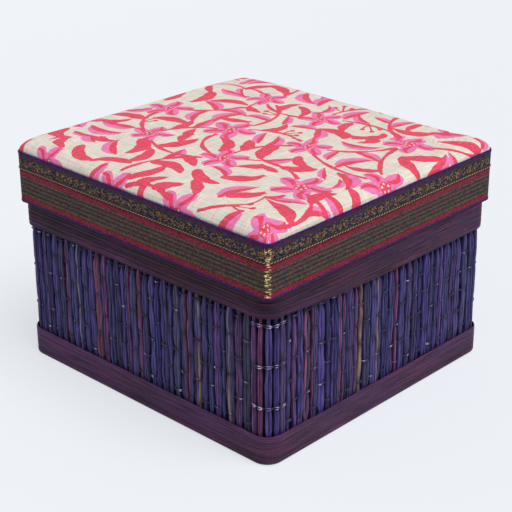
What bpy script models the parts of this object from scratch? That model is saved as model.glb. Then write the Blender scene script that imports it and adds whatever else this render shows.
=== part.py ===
"""A keepsake box with a lift-off lid: card walls in a mat of bound reeds, under a padded cloth top."""

import math
import random

import bmesh
import bpy
from mathutils import Vector

# Overall size, measured over the ribbon round the lid
lid_width = 0.1600
lid_depth = 0.1520
wall_height = 0.0922

# Gaps between pieces that touch, slide or meet end to end
seat_gap = 0.0003
lid_clearance = 0.0007
shoulder_gap = 0.0005
seam_gap = 0.0004
sharp_corner_radius = 0.0002

# Lid
ribbon_width = 0.0246
ribbon_thickness = 0.0006
ribbon_rise = 0.0017
ribbon_hem_width = 0.0012
gold_cord_width = 0.0014
gold_cord_drop = 0.0073
gold_cord_proud = 0.0002
cover_thickness = 0.0005
skirt_board_thickness = 0.0020
lid_board_thickness = 0.0030
lid_lining_thickness = 0.0005
lid_corner_radius = 0.0032
shoulder_rise = 0.0048
shoulder_run = 0.0055
shoulder_corner_radius = 0.0090
crown_rise = 0.0015

# Box
wall_board_thickness = 0.0030
base_board_thickness = 0.0030
floor_card_thickness = 0.0008
lining_thickness = 0.0005
wall_corner_radius = 0.0029
band_thickness = 0.0006
base_band_width = 0.0137
base_flange_width = 0.0090
base_fold_radius = 0.0012
rim_band_width = 0.0105
rim_ridge_depth = 0.0002
rim_ridge_count = 6

# Reed mat
reed_pitch = 0.00403
reed_thickness = 0.00335
reed_gap = 0.00055
reed_shoulder = 0.0012
reed_back_inset = 0.0005
reed_sway = 0.00035
reed_crest_drop = 0.0004
reed_hidden_length = 0.0040
reed_flare_length = 0.0020
thread_space = 0.0007
width_variation_share = 0.26
reed_seed = 41

# Facets, and where the rings of the domed top lie on the way to its middle
corner_steps = 5
lid_corner_steps = 3
board_corner_steps = 4
lid_side_steps = 5
shoulder_steps = 4
crown_ring_shares = (0.20, 0.42, 0.64, 0.86)
sharp_edge_degrees = 35

# Where the seams of the wrapped strips lie across the back, from its middle
ribbon_seam_share = -0.62
band_seam_share = 0.35
lining_seam_share = -0.25

# Colours, linear: (red, green, blue), roughness
finishes = {
    "grey_board": ((0.36, 0.32, 0.26), 0.90),
    "lining_paper": ((0.090, 0.045, 0.120), 0.85),
    "indigo_reed": ((0.060, 0.052, 0.200), 0.60),
    "plum_leaf": ((0.085, 0.030, 0.075), 0.60),
    "printed_cotton": ((0.76, 0.56, 0.46), 0.85),
    "brocade": ((0.190, 0.085, 0.100), 0.55),
    "wadding": ((0.80, 0.78, 0.72), 0.95),
}


def layer(half, change):
    """Half sizes of a layer that lies this much further out than another."""
    return Vector((half.x + change, half.y + change))


# Half sizes of the layers, inwards from the ribbon to the lining of the box
ribbon_depth = ribbon_thickness + gold_cord_proud
ribbon_out = Vector((lid_width / 2, lid_depth / 2))
cover_out = layer(ribbon_out, -(ribbon_depth + seat_gap))
cover_in = layer(cover_out, -cover_thickness)
skirt_out = layer(cover_in, -seat_gap)
skirt_in = layer(skirt_out, -skirt_board_thickness)
skirt_lining_in = layer(skirt_in, -(seat_gap + lid_lining_thickness))
neck_out = layer(skirt_lining_in, -lid_clearance)
wall_out = layer(neck_out, -(lining_thickness + seat_gap))
wall_in = layer(wall_out, -wall_board_thickness)
lining_in = layer(wall_in, -(seat_gap + lining_thickness))

# Half sizes of the layers outwards from the walls to the bands
reed_front = layer(wall_out, seat_gap + thread_space + reed_thickness)
band_out = layer(reed_front, seat_gap + band_thickness)

# Corner radii of the layers
cover_radius = lid_corner_radius - (ribbon_out.x - cover_out.x)
skirt_radius = lid_corner_radius - (ribbon_out.x - skirt_out.x)
lining_radius = wall_corner_radius - (wall_out.x - lining_in.x)
reed_front_radius = wall_corner_radius + (reed_front.x - wall_out.x)
band_radius = wall_corner_radius + (band_out.x - wall_out.x)

# Heights, upwards from the table
base_board_bottom = band_thickness + seat_gap
base_board_top = base_board_bottom + base_board_thickness
wall_bottom = base_board_top + seat_gap
wall_top = wall_bottom + wall_height
neck_top = wall_top + seat_gap + lining_thickness
lid_lining_bottom = neck_top + seat_gap
lid_board_bottom = lid_lining_bottom + lid_lining_thickness + seat_gap
lid_board_top = lid_board_bottom + lid_board_thickness
ribbon_top = lid_board_top + ribbon_rise
ribbon_bottom = ribbon_top - ribbon_width
skirt_bottom = ribbon_bottom + cover_thickness + seat_gap
skirt_top = lid_board_bottom - seat_gap
rim_band_top = ribbon_bottom - shoulder_gap
rim_band_bottom = rim_band_top - rim_band_width
reeds_bottom = band_thickness + seat_gap
reeds_top = rim_band_top - band_thickness - seat_gap


def clear_scene():
    """Empty the scene, so that only this box is in it."""
    for thing in list(bpy.data.objects):
        bpy.data.objects.remove(thing)


def finish_material(name):
    """The Principled material of one finish, made the first time it is wanted."""
    if name in bpy.data.materials:
        return bpy.data.materials[name]
    colour, roughness = finishes[name]
    made = bpy.data.materials.new(name)
    made.use_nodes = True
    shader = made.node_tree.nodes["Principled BSDF"]
    shader.inputs["Base Color"].default_value = (*colour, 1)
    shader.inputs["Roughness"].default_value = roughness
    shader.inputs["Metallic"].default_value = 0
    return made


def add_piece(name, bm, finish):
    """Turn a closed bmesh into one named object, smooth except at its real edges."""
    bmesh.ops.recalc_face_normals(bm, faces=bm.faces)
    mesh = bpy.data.meshes.new(name)
    bm.to_mesh(mesh)
    bm.free()
    mesh.shade_smooth()
    mesh.set_sharp_from_angle(angle=math.radians(sharp_edge_degrees))
    mesh.materials.append(finish_material(finish))
    piece = bpy.data.objects.new(name, mesh)
    bpy.context.scene.collection.objects.link(piece)
    return piece


def corner_arc(centre_x, centre_y, radius, first_degrees, steps):
    """Points of a quarter circle, counter-clockwise from its first angle."""
    points = []
    for step in range(steps + 1):
        angle = math.radians(first_degrees + 90 * step / steps)
        points.append((centre_x + radius * math.cos(angle), centre_y + radius * math.sin(angle)))
    return points


def outline(half, radius, steps, side_steps=1):
    """A rectangle with round corners, counter-clockwise from its front right corner."""
    radius = max(radius, sharp_corner_radius)
    inner = layer(half, -radius)
    corners = [
        corner_arc(inner.x, -inner.y, radius, -90, steps),
        corner_arc(inner.x, inner.y, radius, 0, steps),
        corner_arc(-inner.x, inner.y, radius, 90, steps),
        corner_arc(-inner.x, -inner.y, radius, 180, steps),
    ]
    points = []
    for number, corner in enumerate(corners):
        start, end = Vector(corner[-1]), Vector(corners[(number + 1) % 4][0])
        points += corner
        points += [tuple(start.lerp(end, step / side_steps)) for step in range(1, side_steps)]
    return points


def seamed_outline(half, radius, steps, seam_x):
    """The same rectangle as an open line, from one side of a seam in its back to the other."""
    closed = outline(half, radius, steps)
    right_half = 2 * (steps + 1)
    first = (seam_x - seam_gap / 2, half.y)
    last = (seam_x + seam_gap / 2, half.y)
    return [first, *closed[right_half:], *closed[:right_half], last]


def raised(points, height):
    """Plan points lifted to one height."""
    return [(x, y, height) for x, y in points]


def skin(bm, rows, close_rows, close_skin):
    """Span rows of vertices with faces, from each row to the next."""
    count = len(rows[0])
    for number in range(len(rows) if close_skin else len(rows) - 1):
        row, following = rows[number], rows[(number + 1) % len(rows)]
        for step in range(count if close_rows else count - 1):
            ahead = (step + 1) % count
            bm.faces.new((row[step], row[ahead], following[ahead], following[step]))


def lofted(name, rings, finish):
    """A body skinned over rings of points, with its first and last ring filled."""
    bm = bmesh.new()
    rows = [[bm.verts.new(point) for point in ring] for ring in rings]
    skin(bm, rows, True, False)
    bm.faces.new(rows[0])
    bm.faces.new(rows[-1])
    return add_piece(name, bm, finish)


def upright(name, points, bottom, top, finish):
    """A sheet or board cut to a plan outline."""
    return lofted(name, [raised(points, bottom), raised(points, top)], finish)


def wrapped_strip(name, profile, half, radius, steps, finish, seam_share):
    """A strip of one profile, (distance outwards, height), wrapped round the rectangle.

    It is a single length, so its two ends nearly meet at a seam in the back."""
    bm = bmesh.new()
    rows = []
    for outwards, height in profile:
        line = seamed_outline(layer(half, outwards), radius + outwards, steps, seam_share * half.x)
        rows.append([bm.verts.new(point) for point in raised(line, height)])
    skin(bm, rows, False, True)
    bm.faces.new([row[0] for row in rows])
    bm.faces.new([row[-1] for row in rows])
    return add_piece(name, bm, finish)


def make_walls(half_out, half_in, radius, bottom, top, kind):
    """Four boards butted round a rectangle: front and back lap the ends of left and right."""
    pieces = []
    inner = layer(half_out, -radius)
    for name, facing in (("front", -1), ("back", 1)):
        points = [(-half_out.x, half_in.y), (half_out.x, half_in.y)]
        points += corner_arc(inner.x, inner.y, radius, 0, board_corner_steps)
        points += corner_arc(-inner.x, inner.y, radius, 90, board_corner_steps)
        points = [(x, y * facing) for x, y in points]
        pieces.append(upright(f"{name}_{kind}", points, bottom, top, "grey_board"))
    end = half_in.y - seat_gap
    for name, facing in (("left", -1), ("right", 1)):
        points = [(half_in.x, -end), (half_out.x, -end), (half_out.x, end), (half_in.x, end)]
        points = [(x * facing, y) for x, y in points]
        pieces.append(upright(f"{name}_{kind}", points, bottom, top, "grey_board"))
    return pieces


def make_carcass():
    """The base board, and four wall boards standing on it."""
    plan = outline(wall_out, wall_corner_radius, board_corner_steps)
    upright("base_board", plan, base_board_bottom, base_board_top, "grey_board")
    make_walls(wall_out, wall_in, wall_corner_radius, wall_bottom, wall_top, "wall_board")


def make_box_linings():
    """Paper over the inside, top edge and neck of the walls, and sheets on the floor and underneath."""
    across = neck_out.x - lining_in.x
    neck_bottom = rim_band_top + seat_gap
    profile = [
        (0, wall_bottom),
        (0, neck_top),
        (across, neck_top),
        (across, neck_bottom),
        (across - lining_thickness, neck_bottom),
        (across - lining_thickness, neck_top - lining_thickness),
        (lining_thickness, neck_top - lining_thickness),
        (lining_thickness, wall_bottom),
    ]
    wrapped_strip("wall_lining", profile, lining_in, lining_radius, board_corner_steps,
                  "lining_paper", lining_seam_share)
    floor_plan = outline(layer(lining_in, -seat_gap), 0, board_corner_steps)
    upright("floor_card", floor_plan, wall_bottom, wall_bottom + floor_card_thickness, "lining_paper")
    sheet_plan = outline(layer(band_out, -(base_flange_width + seat_gap)), 0, board_corner_steps)
    upright("underside_sheet", sheet_plan, 0, band_thickness, "lining_paper")


def rim_band_profile():
    """A ridged leaf strip that turns in over the ends of the reeds, as far as the wall."""
    ridge_width = rim_band_width / rim_ridge_count
    points = [(0, rim_band_bottom)]
    for ridge in range(rim_ridge_count):
        ridge_bottom = rim_band_bottom + ridge * ridge_width
        points.append((0, ridge_bottom + ridge_width / 2))
        points.append((-rim_ridge_depth, ridge_bottom + ridge_width))
    turned_in = wall_out.x + seat_gap - band_out.x
    return points + [
        (turned_in, rim_band_top),
        (turned_in, rim_band_top - band_thickness),
        (-band_thickness, rim_band_top - band_thickness),
        (-band_thickness, rim_band_bottom),
    ]


def base_band_profile():
    """A leaf strip round the foot, folded under the base with a soft edge."""
    quarter = corner_arc(0, 0, base_fold_radius, -90, 3)
    fold = [(x - base_fold_radius, y + base_fold_radius) for x, y in quarter]
    return [
        (-base_flange_width, 0),
        *fold,
        (0, base_band_width),
        (-band_thickness, base_band_width),
        (-band_thickness, band_thickness),
        (-base_flange_width, band_thickness),
    ]


def make_bands():
    """The two dyed leaf bands that hold down the ends of the reeds."""
    wrapped_strip("rim_band", rim_band_profile(), band_out, band_radius, corner_steps,
                  "plum_leaf", band_seam_share)
    wrapped_strip("base_band", base_band_profile(), band_out, band_radius, corner_steps,
                  "plum_leaf", -band_seam_share)


def mat_run(side, is_corner):
    """One straight side of the mat, or the corner after it: its half size along, and its length.

    Sides count counter-clockwise from the front, and lengths run along the reeds' fronts."""
    along = reed_front.x if side % 2 == 0 else reed_front.y
    straight = along - reed_front_radius
    length = reed_front_radius * math.pi / 2 if is_corner else 2 * straight
    return straight, length


def mat_point(side, is_corner, distance, outwards):
    """Plan point at a distance along a run of the mat, set outwards from the reeds' fronts."""
    straight = mat_run(side, is_corner)[0]
    across = reed_front.y if side % 2 == 0 else reed_front.x
    if is_corner:
        reach = reed_front_radius + outwards
        angle = distance / reed_front_radius
        x = straight + reach * math.sin(angle)
        y = reed_front_radius - across - reach * math.cos(angle)
    else:
        x = distance - straight
        y = -(across + outwards)
    turn = math.radians(90 * side)
    return x * math.cos(turn) - y * math.sin(turn), x * math.sin(turn) + y * math.cos(turn)


def reed_edges(length, chooser):
    """Where the reeds that fill a length meet each other, no two of quite the same width."""
    count = max(1, round(length / reed_pitch))
    widths = [1 + chooser.uniform(-width_variation_share, width_variation_share) for _ in range(count)]
    edges = [0]
    for width in widths:
        edges.append(edges[-1] + length * width / sum(widths))
    return edges


def reed_stations():
    """Heights at which the reeds change, each with whether they are round or pressed flat there."""
    lower_press = base_band_width - reed_hidden_length
    upper_press = rim_band_bottom + reed_hidden_length
    return [
        (reeds_bottom, False),
        (lower_press, False),
        (lower_press + reed_flare_length, True),
        ((lower_press + upper_press) / 2, True),
        (upper_press - reed_flare_length, True),
        (upper_press, False),
        (reeds_top, False),
    ]


def make_reed_mat(name, side, is_corner, seed):
    """A run of reeds: round and apart where they show, pressed flat and together under the bands."""
    chooser = random.Random(seed)
    edges = reed_edges(mat_run(side, is_corner)[1], chooser)
    drops = [chooser.uniform(0, reed_crest_drop) for _ in edges[1:]]
    bm = bmesh.new()

    def vertex(distance, outwards, height):
        return bm.verts.new((*mat_point(side, is_corner, distance, outwards), height))

    def flank(edge, towards_reed, is_round, height):
        """The back and widest point of a reed's side, on the left (1) or right (-1) of the reed."""
        distance = edge + towards_reed * reed_gap / 2
        if not is_round:
            back = vertex(distance, -(reed_thickness + thread_space), height)
            return back, vertex(distance, 0, height)
        back = vertex(distance + towards_reed * reed_back_inset, -reed_thickness, height)
        return back, vertex(distance, -reed_shoulder, height)

    def section_row(height, is_round):
        """The five-sided sections of all the reeds at one height, sharing flanks where pressed."""
        left_flanks, right_flanks = [], []
        for number, edge in enumerate(edges):
            is_first, is_last = number == 0, number == len(edges) - 1
            if not (is_first or is_last or is_round):
                shared = flank(edge, 0, False, height)
                left_flanks.append(shared)
                right_flanks.append(shared)
                continue
            if not (is_first or is_last):
                edge += chooser.uniform(-reed_sway, reed_sway)
            if not is_last:
                left_flanks.append(flank(edge, 1, is_round, height))
            if not is_first:
                right_flanks.append(flank(edge, -1, is_round, height))
        row = []
        for number, (left, right) in enumerate(zip(left_flanks, right_flanks)):
            middle = (edges[number] + edges[number + 1]) / 2
            crest = vertex(middle, -drops[number] if is_round else 0, height)
            row.append((left[0], left[1], crest, right[1], right[0]))
        return row

    rows = [section_row(height, is_round) for height, is_round in reed_stations()]
    spans = zip(rows, rows[1:], reed_stations(), reed_stations()[1:])
    for row, following, (_, is_round), (_, is_round_next) in spans:
        for number, (section, above) in enumerate(zip(row, following)):
            for corner in range(5):
                is_left, is_right = corner == 0, corner == 3
                meets_next = (is_left and number > 0) or (is_right and number < len(row) - 1)
                if meets_next and not is_round and not is_round_next:
                    continue
                ahead = (corner + 1) % 5
                bm.faces.new((section[corner], section[ahead], above[ahead], above[corner]))
    for section in rows[0] + rows[-1]:
        bm.faces.new(section)
    return add_piece(name, bm, "indigo_reed")


def make_reeds():
    """The reed mat: one run on each side and one round each corner."""
    sides = ("front", "right", "back", "left")
    corners = ("front_right", "back_right", "back_left", "front_left")
    for number in range(4):
        make_reed_mat(f"{sides[number]}_reeds", number, False, reed_seed + number)
        make_reed_mat(f"{corners[number]}_corner_reeds", number, True, reed_seed - 1 - number)


def domed_rings(depth):
    """Rings up the padded top, from its edge to near its middle, at a depth under the cloth's face."""
    flat_half = layer(cover_out, -shoulder_run)
    rings = []

    def add_ring(half, radius, lift):
        points = []
        for x, y in outline(half, radius, lid_corner_steps, lid_side_steps):
            swell_x = max(0, 1 - (x / flat_half.x) ** 2)
            swell_y = max(0, 1 - (y / flat_half.y) ** 2)
            points.append((x, y, ribbon_top - depth + lift + crown_rise * swell_x * swell_y))
        rings.append(points)

    for step in range(shoulder_steps + 1):
        angle = math.radians(90 * step / shoulder_steps)
        inset = depth + (shoulder_run - depth) * (1 - math.cos(angle))
        radius = cover_radius + (shoulder_corner_radius - cover_radius) * inset / shoulder_run
        add_ring(layer(cover_out, -inset), radius - depth, shoulder_rise * math.sin(angle))
    for share in crown_ring_shares:
        add_ring(flat_half * (1 - share), shoulder_corner_radius * (1 - share), shoulder_rise)
    return rings


def make_lid_pad():
    """The wadding: flat on the lid board, domed above."""
    rings = domed_rings(cover_thickness + seat_gap)
    foot = [(x, y, lid_board_top + seat_gap) for x, y, _ in rings[0]]
    return lofted("lid_pad", [foot, *rings], "wadding")


def make_lid_cover():
    """The printed cloth: stretched over the pad and skirt, and turned in under the skirt's edge."""
    def level_ring(half, radius, height):
        return raised(outline(half, radius, lid_corner_steps, lid_side_steps), height)

    turned_in_radius = skirt_radius - skirt_board_thickness
    hem_top = ribbon_bottom + cover_thickness
    rings = domed_rings(0)[::-1]
    rings.append(level_ring(cover_out, cover_radius, ribbon_bottom))
    rings.append(level_ring(skirt_in, turned_in_radius, ribbon_bottom))
    rings.append(level_ring(skirt_in, turned_in_radius, hem_top))
    rings.append(level_ring(cover_in, cover_radius - cover_thickness, hem_top))
    rings += domed_rings(cover_thickness)
    return lofted("lid_cover", rings, "printed_cotton")


def make_ribbon():
    """The woven ribbon round the skirt, thicker at its two hems and at its gold cord."""
    cord_top = ribbon_top - gold_cord_drop
    thick_stripes = [
        (ribbon_bottom, ribbon_bottom + ribbon_hem_width),
        (cord_top - gold_cord_width, cord_top),
        (ribbon_top - ribbon_hem_width, ribbon_top),
    ]
    profile = [(-ribbon_depth, ribbon_bottom)]
    for bottom, top in thick_stripes:
        profile += [
            (-gold_cord_proud, bottom),
            (0, bottom + gold_cord_proud),
            (0, top - gold_cord_proud),
            (-gold_cord_proud, top),
        ]
    profile.append((-ribbon_depth, ribbon_top))
    return wrapped_strip("brocade_ribbon", profile, ribbon_out, lid_corner_radius, corner_steps,
                         "brocade", ribbon_seam_share)


def make_lid_boards():
    """The top board of the lid, and its four skirt boards under it."""
    plan = outline(skirt_out, skirt_radius, board_corner_steps)
    top_board = upright("lid_board", plan, lid_board_bottom, lid_board_top, "grey_board")
    skirt = make_walls(skirt_out, skirt_in, skirt_radius, skirt_bottom, skirt_top, "skirt_board")
    return [top_board, *skirt]


def make_lid_linings():
    """Paper inside the lid: a strip round the skirt and a sheet under the board."""
    profile = [
        (0, skirt_bottom),
        (lid_lining_thickness, skirt_bottom),
        (lid_lining_thickness, skirt_top),
        (0, skirt_top),
    ]
    strip = wrapped_strip("skirt_lining", profile, skirt_lining_in, 0, board_corner_steps,
                          "lining_paper", lining_seam_share)
    plan = outline(layer(skirt_lining_in, -seat_gap), 0, board_corner_steps)
    sheet_top = lid_lining_bottom + lid_lining_thickness
    sheet = upright("lid_lining", plan, lid_lining_bottom, sheet_top, "lining_paper")
    return [strip, sheet]


def make_lid():
    """The whole lid, carried by an empty on the line along which it lifts."""
    pieces = [*make_lid_boards(), *make_lid_linings(), make_lid_pad(), make_lid_cover(), make_ribbon()]
    lift = bpy.data.objects.new("lid_lift", None)
    bpy.context.scene.collection.objects.link(lift)
    lift.location = (0, 0, neck_top)
    bpy.context.view_layer.update()
    for piece in pieces:
        piece.parent = lift
        piece.matrix_parent_inverse = lift.matrix_world.inverted()


clear_scene()
make_carcass()
make_box_linings()
make_reeds()
make_bands()
make_lid()
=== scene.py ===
import bpy
import math
import numpy as np
from functools import partialmethod
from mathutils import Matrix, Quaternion, Vector


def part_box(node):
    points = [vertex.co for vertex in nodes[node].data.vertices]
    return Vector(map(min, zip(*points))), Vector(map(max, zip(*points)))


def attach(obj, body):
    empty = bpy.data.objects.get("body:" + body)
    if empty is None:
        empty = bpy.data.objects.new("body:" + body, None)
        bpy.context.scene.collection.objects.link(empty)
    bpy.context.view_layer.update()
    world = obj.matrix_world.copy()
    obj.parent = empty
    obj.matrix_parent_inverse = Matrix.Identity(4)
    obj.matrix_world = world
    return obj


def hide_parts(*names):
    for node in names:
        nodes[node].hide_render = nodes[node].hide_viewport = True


# A keepsake box: a mat of dyed reeds on card walls, and a lift-off lid in printed cotton and brocade ribbon.

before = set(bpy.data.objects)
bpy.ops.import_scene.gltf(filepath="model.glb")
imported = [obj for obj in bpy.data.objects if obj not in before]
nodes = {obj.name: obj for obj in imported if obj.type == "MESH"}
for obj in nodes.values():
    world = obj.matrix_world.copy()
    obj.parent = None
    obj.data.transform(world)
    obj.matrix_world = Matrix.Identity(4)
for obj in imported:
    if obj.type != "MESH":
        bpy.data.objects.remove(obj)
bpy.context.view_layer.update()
millimetre = 0.001
seamGap = 0.4 * millimetre   # between the two ends of anything that is wrapped round the box
print("frame loaded:", len(nodes), "nodes")

# The camera, at the height and turn the photograph was taken from

viewLook = {
    "azimuth": 43.844, "elevation": 23.855, "distance": 0.6839, "aim": (0, 0, 0.055),
    "lens": 102.0, "roll": -0.334, "shift": (0.00205, -0.0219),
}


def inScene(name, data):
    made = bpy.data.objects.new(name, data)
    bpy.context.scene.collection.objects.link(made)
    return made


def makeCamera():   # on a sphere round the aim: (sin a cos e, -cos a cos e, sin e) times the distance
    look = viewLook
    azimuth, elevation, roll = (math.radians(look[angle]) for angle in ("azimuth", "elevation", "roll"))
    away = Vector((math.sin(azimuth) * math.cos(elevation), -math.cos(azimuth) * math.cos(elevation),
                   math.sin(elevation)))
    camera = inScene("camera", bpy.data.cameras.new("camera"))
    camera.location = Vector(look["aim"]) + away * look["distance"]
    camera.rotation_euler = ((-away).to_track_quat("-Z", "Y") @ Quaternion((0, 0, 1), roll)).to_euler()
    camera.data.lens = look["lens"]
    camera.data.shift_x, camera.data.shift_y = look["shift"]
    bpy.context.scene.camera = camera


makeCamera()
print("camera placed")

# Helpers for colours and node materials


def linear(red, green, blue):   # a colour of 0-255 as seen on screen, in the linear numbers that a socket wants
    seen = np.array((red, green, blue)) / 255
    return (*np.where(seen <= 0.04045, seen / 12.92, ((seen + 0.055) / 1.055) ** 2.4), 1.0)


class Signal:   # what a node gives out; arithmetic on it adds Math nodes
    def __init__(self, finish, socket):
        self.finish, self.socket = finish, socket

    def of(self, operation, *others):
        return self.finish.math(operation, self, *others)

    __add__ = partialmethod(of, "ADD")
    __sub__ = partialmethod(of, "SUBTRACT")
    __mul__ = partialmethod(of, "MULTIPLY")
    __truediv__ = partialmethod(of, "DIVIDE")
    __gt__ = partialmethod(of, "GREATER_THAN")
    __lt__ = partialmethod(of, "LESS_THAN")
    __abs__ = partialmethod(of, "ABSOLUTE")

    def span(self, low, high, first=0.0, second=1.0):   # maps low..high to first..second, clamped
        return self.finish.add("MapRange", {0: self, 1: low, 2: high, 3: first, 4: second})

    def within(self, low, high):   # 1 between the two and 0 elsewhere
        return (self > low) * (self < high)


class Finish:   # one node material; every method adds a node
    def __init__(self, name, roughness, specular, sheen=0.0):
        self.material = bpy.data.materials.new(name)
        self.material.use_nodes = True
        self.tree = self.material.node_tree
        self.shader = self.tree.nodes["Principled BSDF"]
        wanted = {"Roughness": roughness, "Specular IOR Level": specular, "Sheen Weight": sheen,
                  "Sheen Roughness": 0.5}
        for socket, value in wanted.items():
            self.shader.inputs[socket].default_value = value

    def add(self, kind, inputs, outlet=0, **settings):
        made = self.tree.nodes.new("ShaderNode" + kind)
        for key, value in settings.items():
            setattr(made, key, value)
        for socket, value in inputs.items():
            if isinstance(value, Signal):
                self.tree.links.new(value.socket, made.inputs[socket])
            else:
                made.inputs[socket].default_value = value
        return Signal(self, made.outputs[outlet])

    def math(self, operation, first, second=0.0, third=0.0):
        return self.add("Math", {0: first, 1: second, 2: third}, operation=operation)

    def mix(self, share, first, second, blend="MIX"):
        return self.add("Mix", {0: share, 6: first, 7: second}, 2, data_type="RGBA", blend_type=blend)

    def dim(self, colour, factor):   # the colour times one number
        return self.mix(1.0, colour, self.add("CombineColor", {0: factor, 1: factor, 2: factor}), "MULTIPLY")

    def place(self, *scale, offset=(0, 0, 0)):   # in the piece's UV for two scales, in its own space for three
        spot = self.add("TexCoord", {}, "UV" if len(scale) == 2 else "Object")
        return self.add("Mapping", {"Vector": spot, "Scale": (*scale, 1)[:3], "Location": offset})

    def noise(self, *scale, detail=2.0, roughness=0.5, offset=(0, 0, 0), outlet=0):
        place = self.place(*scale, offset=offset)
        inputs = {"Vector": place, "Scale": 1.0, "Detail": detail, "Roughness": roughness}
        return self.add("TexNoise", inputs, outlet)

    def cells(self, *place):   # one random number for each whole step of the place
        return self.add("TexWhiteNoise", {"Vector": self.add("CombineXYZ", dict(enumerate(place)))}, "Value")

    def value(self, name):
        return self.add("Attribute", {}, "Fac", attribute_name=name)

    def ramp(self, value, stops, interpolation="LINEAR"):
        colour = self.add("ValToRGB", {0: value})
        ramp = colour.socket.node.color_ramp
        ramp.interpolation = interpolation
        stops = [(position, linear(*shade)) for position, shade in stops]
        for end in (0, -1):
            ramp.elements[end].position, ramp.elements[end].color = stops[end]
        for position, shade in stops[1:-1]:
            ramp.elements.new(position).color = shade
        return colour

    def finish(self, colour, roughness=None, height=None, depth=None, metal=None):
        wired = {"Base Color": colour, "Roughness": roughness, "Metallic": metal}
        if height is not None:
            wired["Normal"] = self.add("Bump", {"Height": height, "Distance": depth, "Strength": 1.0})
        for socket, value in wired.items():
            if value is not None:
                self.tree.links.new(value.socket, self.shader.inputs[socket])
        return self.material


# Helpers for surfaces


def gridFaces(rows, columns, closeRows=False, closeColumns=False):   # quads between a point and its neighbours
    row = np.arange(rows if closeRows else rows - 1)[:, None]
    column = np.arange(columns if closeColumns else columns - 1)[None, :]
    nextRow, nextColumn = (row + 1) % rows, (column + 1) % columns
    corners = (row * columns + column, row * columns + nextColumn,
               nextRow * columns + nextColumn, nextRow * columns + column)
    return np.stack(np.broadcast_arrays(*corners), axis=-1).reshape(-1, 4)


def tubeFaces(rows, columns):   # a grid closed across, with a cap at each end
    ends = np.arange(columns)[None]
    return gridFaces(rows, columns, closeColumns=True), ends[:, ::-1], ends + (rows - 1) * columns


def repeated(faces, copies, stride):   # the same faces for each copy of a shape, stride points apart
    return (faces[None] + stride * np.arange(copies)[:, None, None]).reshape(-1, faces.shape[1])


def makePiece(name, points, faces, material, uv=None, values=None, sharp=40):
    # the volume, the sum of a . (b x c) / 6 over the triangles, tells if the faces point outwards
    points = np.asarray(points, float).reshape(-1, 3)
    volume = 0.0
    for group in faces:
        first = points[group[:, 0]]
        for corner in range(1, group.shape[1] - 1):
            second, third = points[group[:, corner]], points[group[:, corner + 1]]
            volume += (first * np.cross(second, third)).sum() / 6
    if volume < 0:
        faces = [group[:, ::-1] for group in faces]
    corners = np.concatenate([group.ravel() for group in faces]).astype(np.int32)
    sizes = np.concatenate([np.full(len(group), group.shape[1]) for group in faces])
    mesh = bpy.data.meshes.new(name)
    mesh.vertices.add(len(points))
    mesh.vertices.foreach_set("co", points.ravel())
    mesh.loops.add(len(corners))
    mesh.loops.foreach_set("vertex_index", corners)
    mesh.polygons.add(len(sizes))
    mesh.polygons.foreach_set("loop_start", (np.cumsum(sizes) - sizes).astype(np.int32))
    mesh.update(calc_edges=True)
    if uv is not None:
        layer = mesh.uv_layers.new(name="UVMap")
        layer.data.foreach_set("uv", np.asarray(uv, float).reshape(-1, 2)[corners].ravel())
    for key, numbers in (values or {}).items():
        mesh.attributes.new(key, "FLOAT", "POINT").data.foreach_set("value", np.asarray(numbers, float).ravel())
    mesh.shade_smooth()
    mesh.set_sharp_from_angle(angle=math.radians(sharp))
    mesh.materials.append(material)
    mesh.validate()
    return inScene(name, mesh)


def sideStarts(half, radius):   # the sides' straights, and where along a rounded rectangle the sides start
    straights = 2 * (np.array((half[0], half[1], half[0], half[1])) - radius)
    return straights, np.concatenate(([0], np.cumsum(straights + radius * math.pi / 2)))


def outlinePath(half, radius, distance):
    # points and outward directions, counter-clockwise from the front: a side is a straight, then a quarter
    # circle (r sin a, -r cos a), turned by 90 degrees for each side before it
    straights, starts = sideStarts(half, radius)
    distance = np.mod(distance, starts[-1])
    side = np.clip(np.searchsorted(starts, distance, side="right") - 1, 0, 3)
    along, straight = distance - starts[side], straights[side]
    across = np.where(side % 2 == 0, half[1], half[0])
    angle = np.clip((along - straight) / radius, 0, math.pi / 2)
    outX, outY = np.sin(angle), np.cos(angle)
    x = np.minimum(along, straight) - straight / 2 + radius * outX
    y = radius - across - radius * outY
    turn = side * math.pi / 2
    cos, sin = np.cos(turn), np.sin(turn)
    points = np.stack((x * cos - y * sin, x * sin + y * cos), axis=-1)
    return points, np.stack((outX * cos + outY * sin, outX * sin - outY * cos), axis=-1)


def halfSize(node):   # half width and half depth of a node that is centred on the box's axis
    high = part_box(node)[1]
    return np.array((high.x, high.y))


def drift(along, length, waves, rng):   # smooth unevenness: sum of sin(2 pi k s / length + phase), about -1 to 1
    phases = rng.uniform(0, 2 * math.pi, len(waves))
    strengths = rng.uniform(0.5, 1.0, len(waves))
    total = sum(strength * np.sin(2 * math.pi * wave * along / length + phase)
                for wave, phase, strength in zip(waves, phases, strengths))
    return total / strengths.sum()


def seamPlace(half, radius, seamX):   # the distance along an outline at which a seam in the back lies
    straights, starts = sideStarts(half, radius)
    return starts[2] + straights[2] / 2 - seamX


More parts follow.
